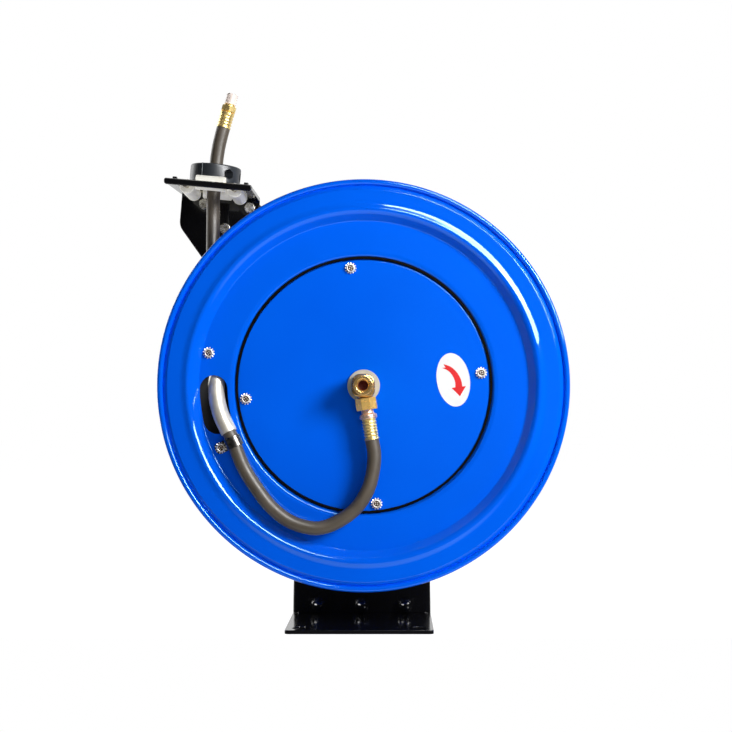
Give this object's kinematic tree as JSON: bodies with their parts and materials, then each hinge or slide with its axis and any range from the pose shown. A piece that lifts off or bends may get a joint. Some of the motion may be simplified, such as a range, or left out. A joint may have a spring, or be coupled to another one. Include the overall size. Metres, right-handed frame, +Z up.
{
  "type": "hose reel",
  "caption": "Spring-rewind hose reel: pressed flanged spool wound with hose on a pedestal foot, with an inlet swivel and a roller hose guide above.",
  "frame": {"origin": "centre of the underside of the foot plate", "axes": "+Z up; the spool turns about an axis along Y and its decorated face with the inlet looks to -Y; +X to the right seen from there"},
  "size_m": [0.415, 0.1749, 0.5541],
  "materials": {
    "black_paint": "glossy black powder coat",
    "blue_paint": "glossy blue powder coat",
    "zinc": "zinc plate",
    "steel": "bright steel",
    "spring_steel": "dark oiled spring steel",
    "brass": "machined brass",
    "rubber": "smooth satin hose cover",
    "nylon": "off-white nylon",
    "dark_plastic": "dark grey moulded plastic",
    "clear_plastic": "translucent whitish plastic"
  },
  "bodies": {
    "frame": {"foot_plate": "black_paint", "upright": "black_paint", "base_bolt_1": "black_paint", "base_bolt_2": "black_paint", "base_bolt_3": "black_paint", "guide_arm": "black_paint", "arm_bolt_1": "zinc", "arm_bolt_2": "zinc", "guide_bracket": "black_paint", "bracket_bolt_1": "zinc", "bracket_bolt_2": "zinc", "bracket_bolt_3": "zinc", "across_pin_front": "zinc", "across_pin_rear": "zinc", "along_pin_left": "zinc", "along_pin_right": "zinc", "main_shaft": "steel", "shaft_nut": "zinc", "shaft_ring": "spring_steel", "power_spring": "spring_steel", "pawl_pin": "zinc", "pawl_spring": "spring_steel", "outlet_hose": "rubber", "stop_half_left": "dark_plastic", "stop_half_right": "dark_plastic", "stop_screw_1": "zinc", "stop_screw_2": "zinc", "outlet_coupling": "brass", "thread_cap": "clear_plastic"},
    "spool": {"front_flange": "blue_paint", "rear_flange": "blue_paint", "drum": "blue_paint", "hub": "steel", "hub_bushing": "brass", "ratchet_wheel": "zinc", "spring_cover": "blue_paint", "cover_screw_1": "zinc", "cover_screw_2": "zinc", "cover_screw_3": "zinc", "cover_screw_4": "zinc", "flange_screw": "zinc", "hose_core": "rubber", "hose_outer_layer": "rubber", "inlet_hose": "rubber", "sleeve_tube": "steel", "hose_clip": "zinc", "clip_screw": "zinc", "swivel_body": "brass", "swivel_washer": "nylon", "swivel_locknut": "brass", "port_nut": "brass", "inlet_fitting": "brass"},
    "inlet_stem": {"swivel_stem": "brass"},
    "pawl": {"pawl": "zinc"},
    "across_roller_front": {"across_roller_front": "nylon"},
    "across_roller_rear": {"across_roller_rear": "nylon"},
    "along_roller_left": {"along_roller_left": "nylon"},
    "along_roller_right": {"along_roller_right": "nylon"}
  },
  "joints": [
    {"name": "spool_spin", "type": "hinge", "parent": "frame", "child": "spool", "pos_m": [0.0041, 0, 0.2475], "axis": [0, 1, 0], "continuous": true, "deforming": ["outlet_hose", "power_spring"]},
    {"name": "inlet_swivel", "type": "hinge", "parent": "spool", "child": "inlet_stem", "pos_m": [0.0041, -0.09, 0.2475], "axis": [0, 1, 0], "continuous": true},
    {"name": "across_roller_front_spin", "type": "hinge", "parent": "frame", "child": "across_roller_front", "pos_m": [-0.15294, -0.0375, 0.4551], "axis": [0.9963, 0, -0.0854], "continuous": true},
    {"name": "across_roller_rear_spin", "type": "hinge", "parent": "frame", "child": "across_roller_rear", "pos_m": [-0.15294, 0.0275, 0.4551], "axis": [0.9963, 0, -0.0854], "continuous": true},
    {"name": "along_roller_left_spin", "type": "hinge", "parent": "frame", "child": "along_roller_left", "pos_m": [-0.17783, -0.005, 0.45282], "axis": [0, 1, 0], "continuous": true},
    {"name": "along_roller_right_spin", "type": "hinge", "parent": "frame", "child": "along_roller_right", "pos_m": [-0.12881, -0.005, 0.44861], "axis": [0, 1, 0], "continuous": true},
    {"name": "pawl_swing", "type": "hinge", "parent": "frame", "child": "pawl", "pos_m": [0.0421, 0.0341, 0.18168], "axis": [0, 1, 0], "range_deg": [-14, 0], "stiffness_Nm_per_rad": 0.2, "springref_deg": 8.59, "deforming": ["pawl_spring"]}
  ]
}
